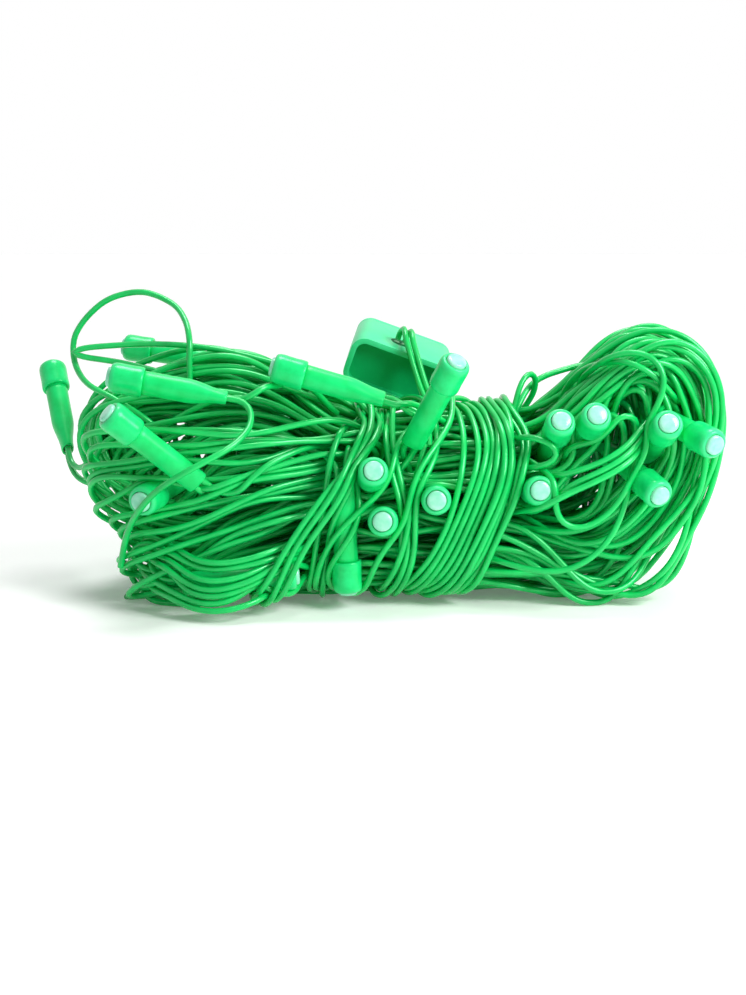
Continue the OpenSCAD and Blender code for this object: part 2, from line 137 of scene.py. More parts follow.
def lamp_places(prefix, ends):
    """Tail, aim and side line of every lamp whose nodes start with this prefix."""
    sleeves, lenses, leads = (loose_solids(prefix + end) for end in ends)
    places = []
    for lens in lenses:
        aim = np.linalg.svd(lens - lens.mean(0))[2][0]
        heights = (lens - lens.mean(0)) @ aim
        widths = np.linalg.norm(lens - lens.mean(0) - np.outer(heights, aim), axis=1)
        if heights[widths > widths.max() - FLANGE_BAND].mean() > 0:
            aim = -aim
        behind = lens.mean(0) - LENS_TO_LEADS * aim
        nearest = sorted((middle(lead) for lead in leads), key=lambda m: np.linalg.norm(m - behind))
        side = nearest[1] - nearest[0]
        side = unit(side - aim * (side @ aim))
        sleeve = min(sleeves, key=lambda s: np.linalg.norm(middle(s) - behind))
        tail = lens.mean(0) + aim * ((sleeve - lens.mean(0)) @ aim).min()
        places.append({"tail": tail, "aim": aim, "side": side})
    return places


lamps = []
for name in FREE_LAMPS:
    place = lamp_places(name, ("_sleeve", "_lens", "_leads"))[0]
    lamps.append({"name": name, "body": name + "_lamp", **place})
for place in lamp_places("bedded", ("_sleeves", "_lenses", "_leads")):
    lamps.append({"name": "bedded", "body": "hank", **place})
print("lamps:", len(lamps), "of which", len(FREE_LAMPS), "bend on their tails")

# %% [markdown]
# ## Where the plug stands
#
# The plug is read from the frame too. Its pins give the way it faces, and the axis of its joint gives
# its left and right. The box of its shell along these lines is the room that the wires have to leave
# free, and the hole for its lead lies on the joint. What is read needn't be typed a second time.

# %% Plug place
pin_line = np.array(frame["record"]["mounts"][0]["axis"])
tilt = next(joint for joint in frame["joints"] if joint["name"] == "plug_tilt")
plug_side = unit(np.array(tilt["axis"]))
plug_axes = np.column_stack([plug_side, pin_line, np.cross(plug_side, pin_line)])
cord_hole = np.array(tilt["pos_m"]) / MM
shell = np.array([v.co for v in frame["nodes"]["plug_shell"].data.vertices]) / MM
along_axes = shell @ plug_axes
plug_half = (along_axes.max(0) - along_axes.min(0)) / 2
plug_centre = plug_axes @ middle(along_axes)
print("plug:", (2 * plug_half).round(1), "mm, cord hole at", cord_hole.round(1))

# %% [markdown]
# ## The wire
#
# A hank like this is wound over two hands. The wire goes round and round in a long loop, each
# loop lands a little beside the last one, and then the waist is wound tight. Two wires run side by
# side, because every lamp needs current in and out. Drawing each strand by hand isn't possible, and
# a plain coil looks like a spring. So each loop gets about fifteen stations, worked out from two
# numbers: how far out it lies in the bundle, and how far to the front or back. A seeded random step
# at every station makes neighbours cross as real ones do. The underside is flattened, because the
# hank is soft and lies on its own weight.

# %% Ovals and steps
WIRE = 1.6
WAIST_HEIGHT = 25.0
random = np.random.default_rng(11)


def ease(t):
    """A smooth step from 0 to 1."""
    t = np.clip(t, 0, 1)
    return t * t * (3 - 2 * t)


def oval(turn, half_depth, half_height, flat):
    """Depth and height on an oval, turn 0 at the middle; flat below 1 squares its shoulders."""
    s, c = np.sin(turn), np.cos(turn)
    return half_depth * np.sign(s) * abs(s) ** flat, half_height * np.sign(c) * abs(c) ** flat


print("wire:", WIRE, "mm thick, the waist's middle is", WAIST_HEIGHT, "mm up")

# %% [markdown]
# ## One loop
#
# A loop goes over the waist to the left, round the left lobe, back under the waist and round the right
# lobe, which stands higher. The left lobe is hollow at the front, and the loops at the back end
# earlier than those at the front. All measures are millimetres, taken from the picture. Small loops
# leave out the corner at the lower right, because they would turn back on themselves there.

# %% Loop stations
OVER_WAIST = (41, 30, 10, -10)
UNDER_WAIST = (-10, 12, 32)
FRONT_HOLLOW = 0.68
BACK_FROM = 0.1
BACK_SPAN = 0.3
CORNER_LOOPS_FROM = 74


def loop_stations(out, depth):
    """One loop's stations. out is 0 inside to 1 outside; depth is -1 front to 1 back."""
    stations = []
    backness = ease((depth - BACK_FROM) / BACK_SPAN)

    def stray(out_step, depth_step):
        """The loop's out and depth, each with a random step of its own."""
        far = np.clip(out + out_step * random.normal(), 0, 1.05)
        deep = np.clip(depth + depth_step * random.normal(), -1.02, 1.02)
        return far, deep

    def add(x, y, z, step):
        stations.append(np.array([x, y, z]) + step * random.normal(size=3))

    def front_to_back(front, back):
        return np.interp(backness, (0, 1), (front, back))

    # Over the waist, to the left.
    for x in OVER_WAIST:
        far, deep = stray(0.08, 0.06)
        y, z = oval(np.radians(84 * deep), 4 + 16 * far, 4 + 18 * far, 1.0)
        add(x, y, WAIST_HEIGHT + z, 0.7)
    # The left lobe: its top, its end and its bottom.
    far, deep = stray(0.1, 0.06)
    hollow = FRONT_HOLLOW if deep < 0 else 1.0
    rise = front_to_back(20 + 20 * far, 8 + 32 * far)
    y, z = oval(np.radians(86 * deep), hollow * 31 * (0.6 + 0.4 * far), rise, 0.9)
    add(-40 + 3 * random.normal(), y, 24 + z - 6 * abs(deep) ** 3, 1.1)
    far, deep = stray(0.1, 0.06)
    corner = ease((abs(deep) - 0.35) / 0.6)
    left_turn = front_to_back(-68 - 11 * far, -52 - 27 * far) + 14 * corner
    add(left_turn, hollow * deep * (17 + 8 * far), 44 - 41.5 * corner, 1.8)
    far, deep = stray(0.15, 0.12)
    left_bottom = max(-44 + 4 * random.normal(), left_turn + 10)
    add(left_bottom, 22 * deep, front_to_back(16, 24) * (1 - far) + 1.5, 1.0)
    # Under the waist, to the right.
    for x in UNDER_WAIST:
        far, deep = stray(0.08, 0.08)
        y, z = oval(np.radians(84 * deep), 5 + 17 * far, 4 + 20 * far, 0.7)
        add(x, y, WAIST_HEIGHT - z, 0.7)
    # The right lobe: its bottom, its corner, its end and its top.
    far, deep = stray(0.12, 0.08)
    add(52 + 3 * random.normal(), 23 * deep, front_to_back(22, 30) * (1 - far) + 1.5, 1.2)
    far, deep = stray(0.12, 0.08)
    spread = far ** 0.6
    right_end = front_to_back(59 + 27 * spread, 48 + 38 * far)
    right_top = front_to_back(51 + 16 * spread, 44 + 23 * far)
    if right_end > CORNER_LOOPS_FROM:
        add(right_end - 15, 22 * deep, front_to_back(24, 30) * (1 - far) + 8, 1.2)
    add(right_end - 3 * deep * deep, 21 * deep, 36, 1.5)
    add(right_end - 2 - 2 * deep * deep, 20 * deep, right_top - 9, 1.2)
    far, deep = stray(0.06, 0.08)
    add(min(58 + 7 * spread, right_end - 6), 19 * deep, right_top - 2 * deep * deep, 1.2)
    return stations


print("stations over the waist:", len(OVER_WAIST), "and under it:", len(UNDER_WAIST))

# %% [markdown]
# ## The whole hank
#
# The loops go out through six layers, from the back to the front and then to the back again, as a
# hand lays them. One smooth curve joins all the stations. The kind of curve is one that goes through
# every station, and it is cut into even steps, which the solver needs later.

# %% The two long wires
LOOPS = 48
PASSES = 6
INNERMOST = 0.1
LAYER_POWER = 0.75
SPACING = 3.0
SMOOTH_STEPS = 12


def hank_stations(inside):
    """All the loops, layer by layer. Both ends are tucked into the waist."""
    stations = [np.array(inside)]
    for i in range(LOOPS):
        wound = i / (LOOPS - 1) * PASSES
        layer = int(min(wound, PASSES - 1e-9))
        across = 2 * (wound - layer) - 1
        out = INNERMOST + (1 - INNERMOST) * (layer / (PASSES - 1)) ** LAYER_POWER
        loop = loop_stations(out, across if layer % 2 else -across)
        stations += loop if i else loop[1:]
    return np.array(stations + [np.array(inside) + (14, 2, -3)])


def smooth_line(points, spacing):
    """A smooth curve through the points, with a new point at every spacing."""
    p = np.asarray(points, float)
    ends = np.vstack([2 * p[0] - p[1], p, 2 * p[-1] - p[-2]])
    t = np.linspace(0, 1, SMOOTH_STEPS, endpoint=False)[:, None]
    pieces = []
    for a, b, c, d in zip(ends, ends[1:], ends[2:], ends[3:]):
        pieces.append(b + 0.5 * t * (c - a + t * (2 * a - 5 * b + 4 * c - d + t * (3 * (b - c) + d - a))))
    line = np.vstack(pieces + [p[-1:]])
    run = np.r_[0, np.cumsum(np.linalg.norm(np.diff(line, axis=0), axis=1))]
    at = np.linspace(0, run[-1], max(3, round(run[-1] / spacing) + 1))
    return np.column_stack([np.interp(at, run, line[:, k]) for k in range(3)])


def length_of(line):
    return np.linalg.norm(np.diff(line, axis=0), axis=1).sum()


series_wire = smooth_line(hank_stations((8, 2, 27)) + SHIFT, SPACING)
return_wire = smooth_line(hank_stations((6, -2, 23)) + SHIFT, SPACING)
print("loops:", 2 * LOOPS, "wire:", round((length_of(series_wire) + length_of(return_wire)) * MM, 1), "m")

# %% [markdown]
# ## The waist wrap
#
# The last stretch of wire is wound round the waist. Seen from the front, three turns lean far out to
# the bottom left and three lean less, two stand nearly upright, the others bow out to the right, most
# of them in a tight bundle, and the last two cross the rest. Each turn is given by where it crosses
# the top and the bottom, and by how far it bows to the right between them.

# %% Wrap stations
WRAP_DEPTH = 28.0
WRAP_HEIGHT = 26.5
WRAP_GROWTH = 0.06
LEANING_TURNS = 3
LEANING_DEPTH = 1.3
LEFTMOST_TURN = -33.0
TURN_STEP = 30
TURNS = [
    (-5, -40, 4), (-6, -39, 5), (-4, -37, 6), (-4, -17, -5), (-2.6, -15, -3), (-2.3, -13.5, -1),
    (-2.3, 0.2, 4), (-0.3, -1, 4), (9.7, 0, 1), (11.5, 0, 3), (15.8, 0, 8), (20.5, 1, 8),
    (23.8, 4, 7), (25, 5, 8), (26, 5.5, 8.5), (27, 6, 9), (28, 7, 9.5), (28.5, 8, 10),
    (29, 8.5, 10.5), (29.5, 9, 11), (27.5, 7.5, 10), (26.5, 6.5, 9.5), (15.3, -14, -9), (17.3, -10.5, -1.5),
]

stations = [(-4, 3, 26)]
for i, (top_x, bottom_x, bow) in enumerate(TURNS):
    grow = 1 + WRAP_GROWTH * i / len(TURNS)
    depth = WRAP_DEPTH * (LEANING_DEPTH if i < LEANING_TURNS else grow)
    for turn in np.radians(np.arange(0, -360, -TURN_STEP)):
        y, z = oval(turn, depth, WRAP_HEIGHT * grow, 1.0 if np.cos(turn) > 0 else 0.5)
        middle_x = (top_x + bottom_x) / 2 + max(0, -np.sin(turn)) * bow
        x = middle_x + (top_x - bottom_x) / 2 * z / (WRAP_HEIGHT * grow) + 0.5 * random.normal()
        x = max(x, LEFTMOST_TURN)
        stations.append((x, y, max(WAIST_HEIGHT + z, WIRE / 2)))
stations.append((22, 4, 24))
wrap_wire = smooth_line(np.array(stations) + SHIFT, SPACING)
print("wrap:", len(TURNS), "turns,", round(length_of(wrap_wire) * MM, 2), "m")

# %% [markdown]
# ## The fan at the front left
#
# The outermost loops at the left are seen as a fan. Each one leaves the waist nearly level, bends down
# to the left, turns sharply at the end of the hank and goes back inside. The ends step down to the
# corner like a staircase. One long wire makes the whole fan.

# %% Fan stations
FAN_LOOPS = 13
FAN_SHARES = (0, 0.2, 0.4, 0.6, 0.8, 0.95)
stations = [(8, -6, 30)]
for i in range(FAN_LOOPS):
    low = i / (FAN_LOOPS - 1)
    waist_z = 46 - 20 * low + 1.2 * random.normal()
    end_x, end_z = -77 + 11.5 * low + random.normal(), 45 - 42.5 * low
    for share in FAN_SHARES:
        x = -4 + (end_x + 4) * share
        y = np.interp(share, (0, 0.2, 0.4, 0.75, 1), (-17, -21, -28, -30.5, -25))
        z = waist_z - (waist_z - end_z) * share ** 1.8
        stations.append(np.array([x, y, z]) + 1.1 * random.normal(size=3))
    stations.append((end_x, -23, end_z - 0.4))
    back_z = 0.5 * end_z + 1.5
    stations.append((end_x + 5, -19, (end_z + back_z) / 2))
    stations.append((-48, -17, back_z))
    stations.append((-33, -13, 1.05 * back_z + 2))
    stations.append((-8, -9, 14 + 0.6 * back_z))
stations.append((8, -5, 21))
fan_wire = smooth_line(np.array(stations) + SHIFT, SPACING)
print("fan:", FAN_LOOPS, "loops,", round(length_of(fan_wire) * MM, 2), "m")

# %% [markdown]
# ## Tails, strays, the loose loop and the plug's lead
#
# Some stretches are seen one by one, so their routes are listed. Two wires leave each free
# lamp's tail and run over the hank before they go into it. A few strands cross the open eye at the
# right, and others arch over the waist and the left lobe. The loose loop at the top left repeats the
# route that the model has. Points in the frame's own millimetres are all that this takes.

# %% Listed routes
TAIL_ROUTES = {
    "far_left": (
        [(-83.5, 3, 30), (-80, 1, 28), (-74, 0, 28), (-66, 0, 28)],
        [(-84.2, 3.6, 32.2), (-81.5, 0.5, 32.6), (-78, -4, 35), (-73, -10, 39.5), (-66, -16, 43),
         (-55, -22, 45.5), (-40, -25, 46), (-26, -22, 44), (-12, -14, 39)],
    ),
    "back_left": (
        [(-39, 28, 57), (-32, 24, 55), (-24, 18, 52), (-16, 11, 47), (-9, 5, 40)],
        [(-40, 29, 55.5), (-34, 28.5, 50), (-28, 25, 43), (-21, 17, 37), (-14, 9, 32)],
    ),
    "upper_left": (
        [(-33.5, -29.5, 52.5), (-33, -34, 48.5), (-36, -39.2, 45), (-41.5, -43, 42), (-48, -44.2, 38.5),
         (-54.5, -41.5, 34), (-60, -36, 28), (-64, -31.5, 21), (-66.5, -27.5, 12)],
        [(-32.5, -26.5, 55.5), (-28, -23, 58), (-23, -16, 57.5), (-18, -10, 54), (-13, -5, 48)],
    ),
    "front_left": (
        [(-41, -30.5, 31.5), (-37, -31, 33), (-32, -31, 36.5), (-25, -27, 40), (-15, -18, 42), (-4, -10, 41)],
        [(-42.5, -27.5, 29.5), (-42, -21, 27.5), (-44, -12, 26)],
    ),
    "top": (
        [(5, -22, 51), (9, -22, 47.5), (12, -20, 42)],
        [(5.5, -20, 52), (10.5, -16.5, 50), (16, -11, 46)],
    ),
    "upright": ([(3.5, -18, 36), (2, -16, 29)], [(6, -17.5, 36), (6.5, -15.5, 29)]),
}
STRAYS = {
    "eye_strand_upper": [
        (26, -8, 30), (34, -17, 31.5), (41.5, -27, 34.7), (53.5, -29, 39.2), (62, -26, 44), (67, -20, 47.5),
        (73, -12, 49)],
    "eye_strand_middle": [
        (26, -9, 28), (34, -18, 29), (41.5, -28, 31.7), (53.5, -30, 37), (62, -27, 42), (66.5, -21, 46),
        (72, -13, 47.5)],
    "eye_strand_lower": [
        (25, -10, 22), (32, -20, 25), (39, -28.5, 28.7), (52, -31, 34.7), (61, -28, 40), (65.5, -22, 44.5),
        (70, -13, 46.5)],
    "eye_loop": [
        (30, -10, 39), (36, -20, 38), (40.5, -28, 33), (41.5, -29, 27), (43.5, -29, 23.4), (49.5, -29, 22.7),
        (57.5, -28, 28.2), (62.5, -26, 38.7), (66, -25, 48), (68.5, -23, 57), (67, -22, 63), (61.5, -20, 65),
        (56, -17, 62.5), (52, -10, 58.5), (50, -5, 52), (49, -2, 44)],
    "eye_crown": [
        (45, 2, 43), (46, 0, 50), (49, -6, 57), (54.5, -14, 61.5), (57.5, -19, 63), (61.5, -21, 62.2),
        (66, -22, 59.7), (70, -21, 56), (74, -15, 51), (76, -5, 46)],
    "eye_arch": [
        (42, -10, 34), (48, -20, 41.7), (53.5, -24, 47.7), (58.5, -25, 50.4), (62, -24, 48.2),
        (62.5, -22, 44.2), (61, -18, 38), (57, -8, 32)],
    "waist_arc": [
        (24, -5, 40), (29, -13, 43), (34, -23, 44.2), (39, -25, 43.4), (43.2, -25, 40.5), (39, -25, 37),
        (33, -20, 35.5), (26, -6, 34)],
    "lower_arc": [
        (16, -12, 17), (24, -20, 14.5), (32, -26, 12), (45, -29, 11.5), (55.5, -29, 19.5), (61, -26, 33),
        (67, -16, 44), (68, -6, 50)],
    "waist_peak": [
        (26, -8, 42), (31, -6, 48), (35.5, -3, 55), (38, -1, 58.6), (39.6, 1, 56), (38.5, 3, 50),
        (35, 4, 44)],
    "peak_bridge": [(34, 0, 46), (37.5, 3, 52), (41, 5, 56), (47, 6, 57.5), (55, 8, 59), (63, 9, 60)],
    "slack_turn": [
        (-2, -10, 49), (-15, -8, 56), (-30, -4, 61), (-48, -2, 64.8), (-66, 0, 65.4), (-79, 0, 64),
        (-83, 0, 63.2), (-79, 0, 62.4), (-68, 0, 60.2), (-55, -1, 57), (-42, -2, 53), (-34, -2, 46)],
}
LOOSE_LOOP = [
    (-50.3, -10.5, 55), (-50.3, -9.9, 62), (-50.3, -8.9, 67), (-52, -4, 72), (-56, 1, 76), (-64, 4, 78.8),
    (-72.5, 4, 77.2), (-78.5, 4, 72.8), (-82.2, 3.5, 67.5), (-82.8, 3, 62.5), (-81, 0, 58.2), (-77, -5, 55),
    (-70, -9, 52), (-62, -10, 47), (-56, -8, 41)]
print("routes chosen by hand:", 2 * len(TAIL_ROUTES) + len(STRAYS) + 1)

# %% [markdown]
# ## Strands that fill the hollows
#
# Loops alone leave holes where a real hank shows more wire. Two wires go up and down inside the lobes,
# one hangs in the lower front at the left, and six lie over the waist from lobe to lobe. A wire that
# turns back close beside itself would need a hairpin, so the passes aren't laid in order: each lands
# a few places on from the last, and the places between fill up later.

# %% Filling strands
INNER_FILLS = (("inner_right", 42, 66, 13, 50), ("inner_left", -64, -24, 9, 50))
INNER_PASSES = 11
INNER_SKIP = 4
LOW_PASSES = 7
LOW_SKIP = 3
LOW_WANDER = 0.45
SADDLES = 6


def to_and_fro(points, k):
    """The points of pass k, which runs backwards if k is odd."""
    return points[::-1] if k % 2 else points


for name, left, right, low, high in INNER_FILLS:
    STRAYS[name] = []
    for k in range(INNER_PASSES):
        share = INNER_SKIP * k % INNER_PASSES / (INNER_PASSES - 1)
        x = left + (right - left) * share
        deep = 5 + 4 * random.random()
        lean = 5 * (left > 0) * (1 - share)
        foot = (x, deep, low)
        between = (x + lean / 2, deep - 2, (low + high) / 2)
        head = (x + lean, deep, high + 6 * share)
        STRAYS[name] += to_and_fro([foot, between, head], k)
STRAYS["front_low"] = []
for k in range(LOW_PASSES):
    n = LOW_SKIP * k % LOW_PASSES
    hanging = np.array([
        (-62, -22, 8 + 1.7 * n), (-57 + 0.8 * n, -29, 6 + 1.9 * n), (-46, -36 + 0.3 * n, 3 + 2 * n),
        (-36, -36 + 0.3 * n, 4 + 1.9 * n), (-26, -29, 7 + 1.7 * n), (-14, -14, 9 + 1.6 * n)])
    hanging += LOW_WANDER * random.normal(size=(6, 3))
    STRAYS["front_low"] += to_and_fro(hanging.tolist(), k)
for k in range(SADDLES):
    STRAYS[f"saddle_{k}"] = [
        (-34, -9 + 3 * k, 55 - k), (-20, -8 + 3 * k, 55.5 - k), (-8, -8 + 3 * k, 53.5 - k),
        (5, -8 + 3 * k, 50.5), (20, -7 + 3 * k, 48), (34, -4 + 2 * k, 49)]
print("filling strands:", len(INNER_FILLS) + 1 + SADDLES)

# %% [markdown]
# ## All routes together
#
# Every strand becomes a line of evenly spaced points. A tail starts inside its sleeve, so its first
# points are held in place, and the rest may settle. The bedded lamps' tails dive straight into the
# hank. The slack loop and the plug's twin lead stand free of it and are held all along.

# %% Routes
TAIL_PITCH = 2.4
TAIL_STRAIGHT = 3
HELD_AT_MOUTH = 5
LEAD_PITCH = 2.1
LEAD_FOOT = np.array([12.65, 4.97, 46.25]) + SHIFT

held = {}
routes = {
    "series_wire": series_wire, "return_wire": return_wire, "wrap_wire": wrap_wire, "fan_wire": fan_wire,
}
for i, lamp in enumerate(lamps):
    inward = unit((SHIFT + (0, 0, WAIST_HEIGHT) - lamp["tail"]) * (0, 1, 1))
    for k, s in enumerate((-0.5, 0.5)):
        mouth = lamp["tail"] + lamp["side"] * TAIL_PITCH * s
        start = [mouth + lamp["aim"] * TAIL_STRAIGHT, mouth, mouth - lamp["aim"] * TAIL_STRAIGHT]
        if lamp["name"] in TAIL_ROUTES:
            onward = [np.array(p) + SHIFT for p in TAIL_ROUTES[lamp["name"]][k]]
        else:
            # A bedded lamp's tails run on a little and then dive into the hank.
            bend = mouth - lamp["aim"] * 6 + lamp["side"] * 2 * s + random.normal(size=3)
            onward = [bend + inward * 2, bend - lamp["aim"] * 2 + inward * 8]
        routes[f"tail_{i}_{k}"] = smooth_line(start + onward, SPACING / 2)
        held[f"tail_{i}_{k}"] = HELD_AT_MOUTH
for name, points in STRAYS.items():
    routes[name] = smooth_line(np.array(points) + SHIFT, SPACING / 1.5)
routes["slack_loop"] = smooth_line(np.array(LOOSE_LOOP) + SHIFT, SPACING)
lead_up = plug_axes[:, 2]
for k, s in enumerate((-0.5, 0.5)):
    beside = plug_side * LEAD_PITCH * s
    routes[f"lead_wire_{k}"] = smooth_line([
        cord_hole + lead_up * 0.6 + beside,
        cord_hole + lead_up * 2.6 + beside,
        cord_hole + lead_up * 4 + np.array([0.6, -3.5, 0]) + beside,
        cord_hole + np.array([2.5, -8.5, 0.5]) + beside,
        (LEAD_FOOT + cord_hole) / 2 + np.array([1.5, -6, -1]) + beside,
        LEAD_FOOT + np.array([0, -1.7, 1.7]) + beside], SPACING / 2)
for name in ("slack_loop", "lead_wire_0", "lead_wire_1"):
    held[name] = len(routes[name])
print("routes:", len(routes))

# %% [markdown]
# ## Letting the strands settle
#
# The strands still run through each other. Blender's cloth can't hold thousands of thin strands
# apart, so a small solver does it, in the way games move ropes: every step it straightens each wire a
# little, keeps its length, and moves any two stretches that are closer than a wire's thickness apart.
# Lamps, the plug and the floor push strands away, and the wrap is drawn inwards until it is tight.

# %% Finding close stretches
HALF_NEIGHBOURS = [(0, 0, 0), (0, 0, 1)] + [(0, 1, z) for z in (-1, 0, 1)]
HALF_NEIGHBOURS += [(1, y, z) for y in (-1, 0, 1) for z in (-1, 0, 1)]


def close_pairs(points, reach):
    """Index pairs of points nearer than reach, found in a grid of cells of that size."""
    cell = np.floor(points / reach).astype(np.int64)
    cell -= cell.min(0) - 1
    size = cell.max(0) + 2
    key = (cell[:, 0] * size[1] + cell[:, 1]) * size[2] + cell[:, 2]
    order = np.argsort(key, kind="stable")
    ranked = key[order]
    firsts, seconds = [], []
    for dx, dy, dz in HALF_NEIGHBOURS:
        wanted = key + (dx * size[1] + dy) * size[2] + dz
        low = np.searchsorted(ranked, wanted, "left")
        count = np.searchsorted(ranked, wanted, "right") - low
        first = np.repeat(np.arange(len(points)), count)
        step = np.arange(count.sum()) - np.repeat(np.cumsum(count) - count, count)
        second = order[np.repeat(low, count) + step]
        keep = first < second if (dx, dy, dz) == (0, 0, 0) else slice(None)
        firsts.append(first[keep])
        seconds.append(second[keep])
    first, second = np.concatenate(firsts), np.concatenate(seconds)
    near = ((points[first] - points[second]) ** 2).sum(1) < reach * reach
    return first[near], second[near]


print("cells searched for each point:", len(HALF_NEIGHBOURS))

# %% [markdown]
# ## Pushing apart
#
# Two stretches touch where the shortest line between them is shorter than the wire is thick, and each
# end of a stretch moves by its share of the overlap. A lamp counts as a capsule, which is a line with
# a thickness, and the plug as a box. Points inside them are moved out the shortest way. Nothing
# moves all the way at once, because a strand that jumps would pass through its neighbours.

# %% Pushing apart
CONTACT = 1.64
STRAND_SHARE = 0.6
LARGEST_MOVE = 0.6
OBSTACLE_SHARE = 0.7


def dot(a, b):
    return (a * b).sum(1)


def part_strands(p, a, b):
    """Moves stretches a and b of the wire apart where they touch. Returns the mean overlap."""
    run_a, run_b, gap = p[a + 1] - p[a], p[b + 1] - p[b], p[a] - p[b]
    aa, bb, ab = dot(run_a, run_a), dot(run_b, run_b), dot(run_a, run_b)
    ag, bg = dot(run_a, gap), dot(run_b, gap)
    s = np.clip((ab * bg - ag * bb) / np.maximum(aa * bb - ab * ab, 1e-9), 0, 1)
    t = np.clip((ab * s + bg) / bb, 0, 1)
    s = np.clip((ab * t - ag) / aa, 0, 1)
    apart = gap + s[:, None] * run_a - t[:, None] * run_b
    distance = np.linalg.norm(apart, axis=1)
    touch = distance < CONTACT
    s, t, a, b = s[touch], t[touch], a[touch], b[touch]
    overlap = CONTACT - distance[touch]
    share = (1 - s) ** 2 + s ** 2 + (1 - t) ** 2 + t ** 2
    push = apart[touch] * (overlap / share / np.maximum(distance[touch], 1e-6))[:, None]
    index = np.concatenate([a, a + 1, b, b + 1])
    moves = np.vstack([push * w[:, None] for w in (1 - s, s, t - 1, -t)])
    total = np.column_stack([np.bincount(index, moves[:, k], len(p)) for k in range(3)])
    count = np.maximum(np.bincount(index, minlength=len(p)), 1)
    total *= STRAND_SHARE / np.sqrt(count / 2)[:, None]
    excess = np.maximum(np.linalg.norm(total, axis=1) / LARGEST_MOVE, 1)
    p += total / excess[:, None]
    return overlap.mean() if len(overlap) else 0.0


def push_from_capsule(p, start, end, radius):
    """Moves points out of a line with a thickness."""
    line = end - start
    t = np.clip(((p - start) @ line) / (line @ line), 0, 1)
    away = p - start - t[:, None] * line
    distance = np.linalg.norm(away, axis=1)
    inside = distance < radius
    out = OBSTACLE_SHARE * (radius / np.maximum(distance[inside], 1e-6) - 1)
    p[inside] += away[inside] * out[:, None]


def push_from_box(p, centre, axes, half):
    """Moves points out of a box, each through its nearest side."""
    local = (p - centre) @ axes
    inside = (np.abs(local) < half).all(1)
    if inside.any():
        q = local[inside]
        depth = half - np.abs(q)
        side = depth.argmin(1)
        row = np.arange(len(q))
        q[row, side] += np.sign(q[row, side]) * depth[row, side] * OBSTACLE_SHARE
        p[inside] = q @ axes.T + centre


print("strands touch below", CONTACT, "mm")

# %% [markdown]
# ## The solver
#
# All wires go into one long array of points. In each step every wire is straightened a little and
# drawn a little to its first place, its stretches keep their length, and the wrap is drawn to the
# middle of the waist. Then strands, lamps, plug and floor push. Which stretches are close is looked
# up again only every sixth step, because that is the slow part.

# %% Settling
SETTLE_STEPS = 150
LOOK_AGAIN = 6
SEARCH_MARGIN = 0.8
OWN_STRETCHES = 4
STIFFNESS = 0.35
HOME_PULL = 0.012
LENGTH_PULL = 0.25
WRAP_PULL = 0.03
WRAP_LENGTH = 0.995
LAMP_ROOM = 0.1
LAMP_CAPSULES = ((3, 26, 3.0), (24.3, 25.7, 3.8))


def settle(routes, held, steps):
    """The routes after the strands have been let settle. The held points stay."""
    names = list(routes)
    p = np.vstack([routes[n] for n in names])
    wire = np.concatenate([np.full(len(routes[n]), k) for k, n in enumerate(names)])
    fixed = np.concatenate([np.arange(len(routes[n])) < held.get(n, 0) for n in names])
    wrap = wire == names.index("wrap_wire")
    home = p.copy()
    segment = np.flatnonzero(wire[:-1] == wire[1:])
    inner = np.flatnonzero(wire[:-2] == wire[2:]) + 1
    rest = np.linalg.norm(p[segment + 1] - p[segment], axis=1)
    reach = SPACING + CONTACT + SEARCH_MARGIN
    room = WIRE / 2 + LAMP_ROOM
    for step in range(steps):
        if step % LOOK_AGAIN == 0:
            first, second = close_pairs((p[segment] + p[segment + 1]) / 2, reach)
            a, b = segment[first], segment[second]
            apart = (wire[a] != wire[b]) | (np.abs(a - b) > OWN_STRETCHES)
            a, b = a[apart], b[apart]
        # Each wire is straightened a little and drawn to its first place.
        bend = np.zeros_like(p)
        bend[inner] = (p[inner - 1] + p[inner + 1]) / 2 - p[inner]
        stiff = np.zeros_like(p)
        stiff[inner] = (bend[inner - 1] + bend[inner + 1]) / 2 - bend[inner]
        p -= STIFFNESS * stiff
        p += HOME_PULL * (home - p) * ~wrap[:, None]
        # The wrap is drawn to the middle of the waist.
        inward = (p[wrap] - SHIFT) * (0, 1, 1) - (0, 0, WAIST_HEIGHT)
        p[wrap] -= inward * (WRAP_PULL / np.maximum(np.linalg.norm(inward, axis=1), 1))[:, None]
        # Every stretch goes back towards its own length.
        run = p[segment + 1] - p[segment]
        length = np.linalg.norm(run, axis=1)
        wanted = rest * np.where(wrap[segment], WRAP_LENGTH, 1)
        pull = run * (LENGTH_PULL * (1 - wanted / length))[:, None]
        np.add.at(p, segment, pull)
        np.add.at(p, segment + 1, -pull)
        # Strands, lamps, the plug and the floor push, and the held points go back.
        overlap = part_strands(p, a, b)
        for lamp in lamps:
            for low, high, radius in LAMP_CAPSULES:
                foot = lamp["tail"] + low * lamp["aim"]
                tip = lamp["tail"] + high * lamp["aim"]
                push_from_capsule(p, foot, tip, radius + room)
        push_from_box(p, plug_centre, plug_axes, plug_half + room)
        p[:, 2] = np.maximum(p[:, 2], WIRE / 2)
        p[fixed] = home[fixed]
    print("settled:", len(p), "points, mean overlap left", round(float(overlap), 3), "mm")
    starts = np.cumsum([0] + [len(routes[n]) for n in names])
    return {n: p[starts[k]:starts[k + 1]] for k, n in enumerate(names)}


settled = settle(routes, held, SETTLE_STEPS)
